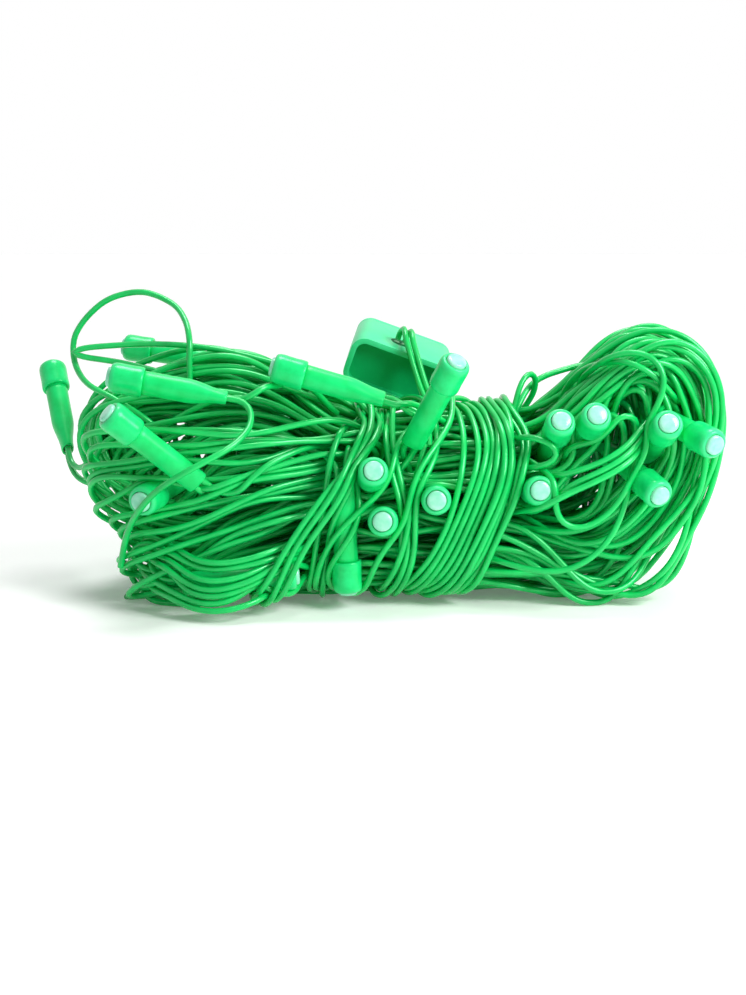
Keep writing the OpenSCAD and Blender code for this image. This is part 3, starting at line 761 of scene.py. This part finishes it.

# %% [markdown]
# ## Materials
#
# The wire's jacket is soft PVC, glossy and a saturated spring green. The sleeves are the same plastic
# in a duller skin. Each finish is a Principled shader whose colour and roughness wander a little with
# a noise at the scale of the piece, and a finer noise roughens its skin. A flat colour would be less
# work, but it looks like paint. A lamp's cap is painted paler towards its rim, a painted glow of the
# light that shines through its plastic, so its shader also reads how far along the lamp a point lies.

# %% How a finish is made


def new_finish(name, base, variation, scale, roughness, bump=0.0, bump_scale=900.0, rim=None, **sockets):
    """A finish whose colour and roughness wander between two values with a noise."""
    material = bpy.data.materials.new(name)
    material.use_nodes = True
    tree = material.node_tree
    shader = tree.nodes["Principled BSDF"]
    for socket, value in sockets.items():
        shader.inputs[socket.replace("_", " ")].default_value = value
    place = tree.nodes.new("ShaderNodeTexCoord")
    noise = tree.nodes.new("ShaderNodeTexNoise")
    noise.inputs["Scale"].default_value = scale
    noise.inputs["Detail"].default_value = 4.0
    tree.links.new(place.outputs["Object"], noise.inputs["Vector"])
    ramp = tree.nodes.new("ShaderNodeValToRGB")
    ramp.color_ramp.elements[0].position = 0.3
    ramp.color_ramp.elements[1].position = 0.7
    ramp.color_ramp.elements[0].color = (*base, 1)
    ramp.color_ramp.elements[1].color = (*variation, 1)
    tree.links.new(noise.outputs["Fac"], ramp.inputs["Fac"])
    colour = ramp.outputs["Color"]
    # Towards the cap's rim the colour turns paler. This is a painted glow of light shining through the plastic.
    if rim:
        painted_glow_colour, rim_start, rim_end = rim
        along = tree.nodes.new("ShaderNodeAttribute")
        along.attribute_name = "along"
        share = tree.nodes.new("ShaderNodeMapRange")
        share.inputs["From Min"].default_value = rim_start
        share.inputs["From Max"].default_value = rim_end
        tree.links.new(along.outputs["Fac"], share.inputs["Value"])
        mix = tree.nodes.new("ShaderNodeMix")
        mix.data_type = "RGBA"
        mix.inputs["B"].default_value = (*painted_glow_colour, 1)
        tree.links.new(share.outputs["Result"], mix.inputs["Factor"])
        tree.links.new(colour, mix.inputs["A"])
        colour = mix.outputs["Result"]
    tree.links.new(colour, shader.inputs["Base Color"])
    rough = tree.nodes.new("ShaderNodeMapRange")
    rough.inputs["To Min"].default_value = roughness[0]
    rough.inputs["To Max"].default_value = roughness[1]
    tree.links.new(noise.outputs["Fac"], rough.inputs["Value"])
    tree.links.new(rough.outputs["Result"], shader.inputs["Roughness"])
    if bump:
        fine = tree.nodes.new("ShaderNodeTexNoise")
        fine.inputs["Scale"].default_value = bump_scale
        tree.links.new(place.outputs["Object"], fine.inputs["Vector"])
        relief = tree.nodes.new("ShaderNodeBump")
        relief.inputs["Strength"].default_value = bump
        relief.inputs["Distance"].default_value = 0.0002
        tree.links.new(fine.outputs["Fac"], relief.inputs["Height"])
        tree.links.new(relief.outputs["Normal"], shader.inputs["Normal"])
    return material


print("materials before the finishes:", len(bpy.data.materials))

# %% [markdown]
# ## The finishes
#
# The greens differ from piece to piece. The wire is the deepest, the sleeves and caps are lighter, and
# the plug is a paler moulded plastic with painted shade inside its recess. The lenses are milky epoxy, the
# pins brass, and the pieces inside the plug have the finishes that electronic parts have. The model's
# own nodes get theirs by name, so nothing that shows through a gap is left plain.

# %% Finishes
GREEN_SHEEN = (0.45, 1.0, 0.62, 1)
wire_pvc = new_finish(
    "wire_pvc", (0.0, 0.45, 0.085), (0.003, 0.60, 0.12), scale=160, roughness=(0.17, 0.27),
    bump=0.05, bump_scale=1500, Specular_Tint=GREEN_SHEEN, Specular_IOR_Level=0.8)
sleeve_pvc = new_finish(
    "sleeve_pvc", (0.002, 0.58, 0.12), (0.006, 0.72, 0.18), scale=240, roughness=(0.26, 0.4),
    bump=0.12, bump_scale=700, Specular_Tint=GREEN_SHEEN)
# The cap's paler rim colour is a painted glow of light shining through the plastic.
cap_pvc = new_finish(
    "cap_pvc", (0.003, 0.60, 0.14), (0.01, 0.74, 0.21), scale=300, roughness=(0.18, 0.3),
    bump=0.08, bump_scale=800, rim=((0.05, 0.70, 0.26), 0.92, 0.985), Specular_Tint=GREEN_SHEEN)
lens_epoxy = new_finish(
    "lens_epoxy", (0.20, 0.74, 0.46), (0.36, 0.82, 0.60), scale=500, roughness=(0.08, 0.18),
    bump=0.05, bump_scale=1200)
plug_plastic = new_finish(
    "plug_plastic", (0.03, 0.66, 0.26), (0.05, 0.74, 0.32), scale=90, roughness=(0.3, 0.44),
    bump=0.1, bump_scale=2500)
# The recess colour is painted shade: the same plastic, darker where little light falls into the recess.
recess_plastic = new_finish(
    "recess_plastic", (0.0, 0.34, 0.10), (0.002, 0.42, 0.13), scale=90, roughness=(0.4, 0.5),
    bump=0.1, bump_scale=2500, Specular_IOR_Level=0.2)
pin_brass = new_finish(
    "pin_brass", (0.72, 0.50, 0.18), (0.86, 0.64, 0.28), scale=300, roughness=(0.2, 0.34), Metallic=1.0)
screw_steel = new_finish(
    "screw_steel", (0.55, 0.55, 0.56), (0.7, 0.7, 0.71), scale=600, roughness=(0.25, 0.4), Metallic=1.0)
grip_rubber = new_finish(
    "grip_rubber", (0.002, 0.10, 0.03), (0.004, 0.16, 0.05), scale=500, roughness=(0.5, 0.65),
    Specular_IOR_Level=0.1)
board_laminate = new_finish(
    "board_laminate", (0.03, 0.12, 0.03), (0.05, 0.2, 0.05), scale=300, roughness=(0.4, 0.55))
capacitor_skin = new_finish(
    "capacitor_skin", (0.32, 0.03, 0.015), (0.42, 0.05, 0.02), scale=300, roughness=(0.25, 0.35))
diode_epoxy = new_finish(
    "diode_epoxy", (0.01, 0.01, 0.01), (0.03, 0.03, 0.03), scale=500, roughness=(0.4, 0.55))
resistor_lacquer = new_finish(
    "resistor_lacquer", (0.5, 0.36, 0.16), (0.6, 0.45, 0.22), scale=400, roughness=(0.3, 0.45))
lead_tin = new_finish(
    "lead_tin", (0.6, 0.6, 0.58), (0.72, 0.72, 0.7), scale=500, roughness=(0.3, 0.45), Metallic=1.0)

NODE_FINISH = {
    "plug_shell": plug_plastic, "plug_rear_cover": plug_plastic, "plug_pins": pin_brass,
    "plug_screws": screw_steel, "cord_grip": grip_rubber, "lead_ends": wire_pvc,
    "driver_board": board_laminate, "capacitor": capacitor_skin,
    "rectifier_diodes": diode_epoxy, "dropper_resistor": resistor_lacquer,
}
for name, node in frame["nodes"].items():
    finish = lead_tin if name.endswith("_leads") else NODE_FINISH.get(name, wire_pvc)
    node.data.materials.clear()
    node.data.materials.append(finish)
other_finishes = {sleeve_pvc, cap_pvc, lens_epoxy, recess_plastic, lead_tin}
print("finishes:", len(other_finishes | set(NODE_FINISH.values())))

# %% [markdown]
# ## Making the wire solid
#
# A settled line becomes a round curve of the wire's thickness, which rides on the hank. Where a lamp
# bends, the first millimetres of its tails are meshes of their own, which ride on no body.

# %% Cord pieces


def add_object(name, data, body=None):
    """A new piece, riding on a body if one is given."""
    obj = bpy.data.objects.new(name, data)
    bpy.context.scene.collection.objects.link(obj)
    if body:
        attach(obj, body)
    return obj


def round_curve(name, line):
    """A curve with the wire's thickness along a line in metres."""
    data = bpy.data.curves.new(name, "CURVE")
    data.dimensions = "3D"
    data.bevel_depth = WIRE / 2 * MM
    data.bevel_resolution = 2
    data.use_fill_caps = True
    spline = data.splines.new("POLY")
    spline.points.add(len(line) - 1)
    spline.points.foreach_set("co", np.column_stack([line, np.ones(len(line))]).ravel())
    spline.use_smooth = True
    data.materials.append(wire_pvc)
    return data


ROOT_POINTS = 8
for name, line in settled.items():
    line = smooth_line(line, SPACING / 2) * MM
    line[:, 2] = np.maximum(line[:, 2], WIRE / 2 * MM)
    lamp = lamps[int(name.split("_")[1])] if name.startswith("tail_") else None
    if lamp and lamp["name"] in FREE_LAMPS:
        scratch = bpy.data.objects.new(name, round_curve(name, line[:ROOT_POINTS]))
        root = add_object(name + "_root", bpy.data.meshes.new_from_object(scratch))
        bpy.data.objects.remove(scratch)
        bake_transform(root)
        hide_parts("free_tails")
        line = line[ROOT_POINTS - 2:]
    add_object(name, round_curve(name, line), "hank")

for name in ("series_wire", "return_wire", "fan_wire", *STRAYS):
    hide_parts("hank_loops")
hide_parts("waist_wrap")
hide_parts("loose_loop")
for k in range(2):
    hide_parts("plug_lead")
    for i, lamp in enumerate(lamps):
        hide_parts("free_tails" if lamp["name"] in FREE_LAMPS else "lamp_tails")

# %% [markdown]
# ## The lamps
#
# A sleeve is a soft tube that is pinched flat round its two wires. It is made of rings: an oval
# at the tail, with a shallow mouth set into it, that grows round in 9 mm. The cap and the lens are
# turned shapes, so each is a profile spun round the lamp's line. Only one set of shapes is made.

# %% Lamp shapes
SIDES = 32
SLEEVE_RINGS = [
    (1.6, 2.3, 1.0), (0.3, 2.45, 1.15), (0.0, 2.7, 1.4), (0.12, 2.92, 1.6), (0.5, 3.0, 1.7),
    (2.0, 3.0, 1.78), (4.0, 3.0, 2.05), (6.0, 3.0, 2.5), (8.0, 3.0, 2.88), (9.5, 3.0, 3.0),
    (14.0, 2.97, 2.97), (19.0, 3.0, 3.0), (21.8, 3.0, 3.0)]
CAP_PROFILE = [
    (3.02, 20.6), (3.4, 20.5), (3.66, 20.62), (3.78, 21.0), (3.8, 21.8), (3.74, 23.2), (3.76, 25.2),
    (3.8, 26.6), (3.74, 27.5), (3.52, 28.15), (3.2, 28.5), (2.86, 28.6), (2.6, 28.5), (2.54, 28.0)]
LENS_PROFILE = [
    (2.46, 27.0), (2.46, 28.7), (2.4, 29.05), (2.2, 29.28), (1.7, 29.42), (0.9, 29.49), (0.0, 29.5)]


def closed_mesh(bm):
    """The bmesh as a mesh in millimetres, with its doubles merged and its normals outwards."""
    bmesh.ops.remove_doubles(bm, verts=bm.verts, dist=1e-5)
    bmesh.ops.recalc_face_normals(bm, faces=bm.faces)
    mesh = bpy.data.meshes.new("one_lamp_shape")
    bm.to_mesh(mesh)
    bm.free()
    return mesh


def ringed(rings):
    """A tube through oval rings, each given as height, half width and half thickness."""
    bm = bmesh.new()
    loops = []
    for z, half_width, half_thick in rings:
        turn = np.linspace(0, 2 * np.pi, SIDES, endpoint=False)
        verts = [bm.verts.new((half_width * np.cos(t), half_thick * np.sin(t), z)) for t in turn]
        loops.append([bm.edges.new((verts[k - 1], verts[k])) for k in range(SIDES)])
    for low, high in zip(loops, loops[1:]):
        bmesh.ops.bridge_loops(bm, edges=low + high)
    bmesh.ops.contextual_create(bm, geom=loops[0])
    bmesh.ops.contextual_create(bm, geom=loops[-1])
    return closed_mesh(bm)


def turned(profile):
    """A profile of radius and height, spun round the lamp's line."""
    bm = bmesh.new()
    verts = [bm.verts.new((radius, 0, z)) for radius, z in profile]
    edges = [bm.edges.new(pair) for pair in zip(verts, verts[1:])]
    bmesh.ops.spin(bm, geom=verts + edges, cent=(0, 0, 0), axis=(0, 0, 1), angle=2 * np.pi, steps=SIDES,
                   use_merge=True)
    return closed_mesh(bm)


LAMP_PARTS = [
    ("sleeve", "sleeves", ringed(SLEEVE_RINGS), sleeve_pvc),
    ("cap", "caps", turned(CAP_PROFILE), cap_pvc),
    ("lens", "lenses", turned(LENS_PROFILE), lens_epoxy),
]
print("faces of one lamp:", {part: len(shape.polygons) for part, _, shape, _ in LAMP_PARTS})

# %% [markdown]
# ## The lamps in their places
#
# Each free lamp bends alone, so its sleeve, cap and lens are pieces of their own. The bedded lamps
# move with the hank, so all their sleeves are one piece, and so are their caps and lenses. The one
# shape is copied into the piece for each lamp and turned to its line. Every point keeps its share of
# the way along the lamp in an attribute, which the cap's shader reads.

# %% Lamps in place
LAMP_LENGTH = 29.5


def place_on_lamps(name, shape, chosen, finish, body):
    """One piece with the shape at each of the chosen lamps."""
    bm = bmesh.new()
    for lamp in chosen:
        before = len(bm.verts)
        bm.from_mesh(shape)
        axes = np.column_stack([lamp["side"], np.cross(lamp["aim"], lamp["side"]), lamp["aim"]])
        place = Matrix.Translation(lamp["tail"] * MM) @ Matrix((axes * MM).tolist()).to_4x4()
        bmesh.ops.transform(bm, matrix=place, verts=list(bm.verts)[before:])
    mesh = bpy.data.meshes.new(name)
    bm.to_mesh(mesh)
    bm.free()
    heights = np.array([vert.co.z for vert in shape.vertices])
    along = mesh.attributes.new("along", "FLOAT", "POINT")
    along.data.foreach_set("value", np.tile(heights / LAMP_LENGTH, len(chosen)).astype(np.float32))
    mesh.polygons.foreach_set("use_smooth", [True] * len(mesh.polygons))
    mesh.materials.append(finish)
    return add_object(name, mesh, body)


bedded = [lamp for lamp in lamps if lamp["name"] == "bedded"]
for part, parts, shape, finish in LAMP_PARTS:
    for lamp in lamps[:len(FREE_LAMPS)]:
        piece = place_on_lamps(f"{lamp['name']}_lamp_{part}", shape, [lamp], finish, lamp["body"])
        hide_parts(f"{lamp['name']}_{part}")
    piece = place_on_lamps(f"bedded_lamp_{parts}", shape, bedded, finish, "hank")
    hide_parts(f"bedded_{parts}")
    bpy.data.meshes.remove(shape)
print("lamps in place:", len(lamps), "of which", len(bedded), "are bedded")

# %% [markdown]
# ## The plug
#
# The plug's solids have true sizes but knife edges, and moulded plastic never has those. Each
# moulded piece is copied, its flat faces are joined, and every sharp edge gets a small round.
# A plain bevel on the whole copy would also round the seams between flat triangles, so only the edges
# that turn by more than 35 degrees get it. The recess in the shell's front gets a darker colour, which is painted
# shade.

# %% Softened plug pieces
FLAT_ANGLE = np.radians(1)
SHARP_ANGLE = np.radians(35)
RECESS_WALL = 1.3
RECESS_FROM = 0.3
RECESS_TO = 3.5


def softened(node, width, finish):
    """A copy of a CAD node with its sharp edges rounded."""
    bm = bmesh.new()
    bm.from_mesh(frame["nodes"][node].data)
    bmesh.ops.remove_doubles(bm, verts=bm.verts, dist=1e-6)
    bmesh.ops.dissolve_limit(bm, angle_limit=FLAT_ANGLE, verts=bm.verts, edges=bm.edges)
    sharp = [e for e in bm.edges if e.is_manifold and e.calc_face_angle() > SHARP_ANGLE]
    bmesh.ops.bevel(bm, geom=sharp, offset=width * MM, affect="EDGES", segments=3, profile=0.5, material=-1,
                    clamp_overlap=True)
    bmesh.ops.recalc_face_normals(bm, faces=bm.faces)
    mesh = bpy.data.meshes.new("moulded_" + node)
    bm.to_mesh(mesh)
    bm.free()
    mesh.polygons.foreach_set("use_smooth", [True] * len(mesh.polygons))
    mesh.materials.clear()
    mesh.materials.append(finish)
    piece = add_object("moulded_" + node, mesh, "plug")
    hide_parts(node)
    return piece


def paint_recess_shade(piece):
    """Gives the faces inside the recess in the plug's front a darker finish of their own, which is painted shade.
    """
    piece.data.materials.append(recess_plastic)
    for face in piece.data.polygons:
        place = (np.array(face.center) / MM - plug_centre) @ plug_axes
        inside = (np.abs(place[[0, 2]]) < plug_half[[0, 2]] - RECESS_WALL).all()
        if inside and -plug_half[1] + RECESS_FROM < place[1] < -plug_half[1] + RECESS_TO:
            face.material_index = 1


plug_piece = softened("plug_shell", 0.7, plug_plastic)
paint_recess_shade(plug_piece)
softened("plug_rear_cover", 0.4, plug_plastic)
softened("plug_pins", 0.5, pin_brass)
softened("cord_grip", 0.25, grip_rubber)
print("plug shell:", len(plug_piece.data.polygons), "faces after rounding")

# %% [markdown]
# ## The floor
#
# The object lies on plain white paper. A large flat grid does for that. It glows faintly, so that it
# stays white under lamps that leave the greens as they are, and it still takes the soft shadow.

# %% Floor
FLOOR_HALF = 6


def pale_floor():
    bm = bmesh.new()
    bmesh.ops.create_grid(bm, x_segments=1, y_segments=1, size=FLOOR_HALF)
    mesh = bpy.data.meshes.new("floor")
    bm.to_mesh(mesh)
    bm.free()
    floor = bpy.data.objects.new("floor", mesh)
    bpy.context.scene.collection.objects.link(floor)
    paper = bpy.data.materials.new("floor_paper")
    paper.use_nodes = True
    shader = paper.node_tree.nodes["Principled BSDF"]
    shader.inputs["Base Color"].default_value = (0.95, 0.955, 0.95, 1)
    shader.inputs["Roughness"].default_value = 0.6
    shader.inputs["Specular IOR Level"].default_value = 0.2
    shader.inputs["Emission Color"].default_value = (1, 1, 1, 1)
    shader.inputs["Emission Strength"].default_value = 0.12
    mesh.materials.append(paper)


pale_floor()
print("floor:", 2 * FLOOR_HALF, "m wide")

# %% [markdown]
# ## The light
#
# One wide soft light comes from above and a little from behind, and a small softbox at the right gives
# the plastic its bright streaks. The world is white to the camera and in reflections, but dimmer as
# a light, so that the gaps between the strands stay dark.

# %% Light


def soft_lights():
    sun_data = bpy.data.lights.new("soft_key", "SUN")
    sun_data.energy = 2.1
    sun_data.angle = np.radians(26)
    sun = bpy.data.objects.new("soft_key", sun_data)
    sun.rotation_euler = (np.radians(-12), np.radians(4), 0)
    bpy.context.scene.collection.objects.link(sun)

    side_data = bpy.data.lights.new("side_softbox", "AREA")
    side_data.energy = 2.1
    side_data.size = 0.2
    side = bpy.data.objects.new("side_softbox", side_data)
    side.location = (0.31, -0.22, 0.28)
    side.rotation_euler = Vector((-0.24, 0.22, -0.24)).to_track_quat("-Z", "Y").to_euler()
    bpy.context.scene.collection.objects.link(side)


def white_world():
    world = bpy.data.worlds.new("studio")
    world.use_nodes = True
    bpy.context.scene.world = world
    tree = world.node_tree
    background = tree.nodes["Background"]
    background.inputs["Color"].default_value = (1, 1, 1, 1)
    path = tree.nodes.new("ShaderNodeLightPath")
    seen = tree.nodes.new("ShaderNodeMath")
    seen.operation = "MAXIMUM"
    tree.links.new(path.outputs["Is Camera Ray"], seen.inputs[0])
    tree.links.new(path.outputs["Is Glossy Ray"], seen.inputs[1])
    either = tree.nodes.new("ShaderNodeMath")
    either.operation = "MAXIMUM"
    tree.links.new(seen.outputs[0], either.inputs[0])
    tree.links.new(path.outputs["Is Transmission Ray"], either.inputs[1])
    strength = tree.nodes.new("ShaderNodeMapRange")
    strength.inputs["To Min"].default_value = 0.22
    strength.inputs["To Max"].default_value = 1.0
    tree.links.new(either.outputs[0], strength.inputs["Value"])
    tree.links.new(strength.outputs["Result"], background.inputs["Strength"])


soft_lights()
white_world()
bpy.context.scene.view_settings.view_transform = "Standard"
print("lights:", len(bpy.data.lights))
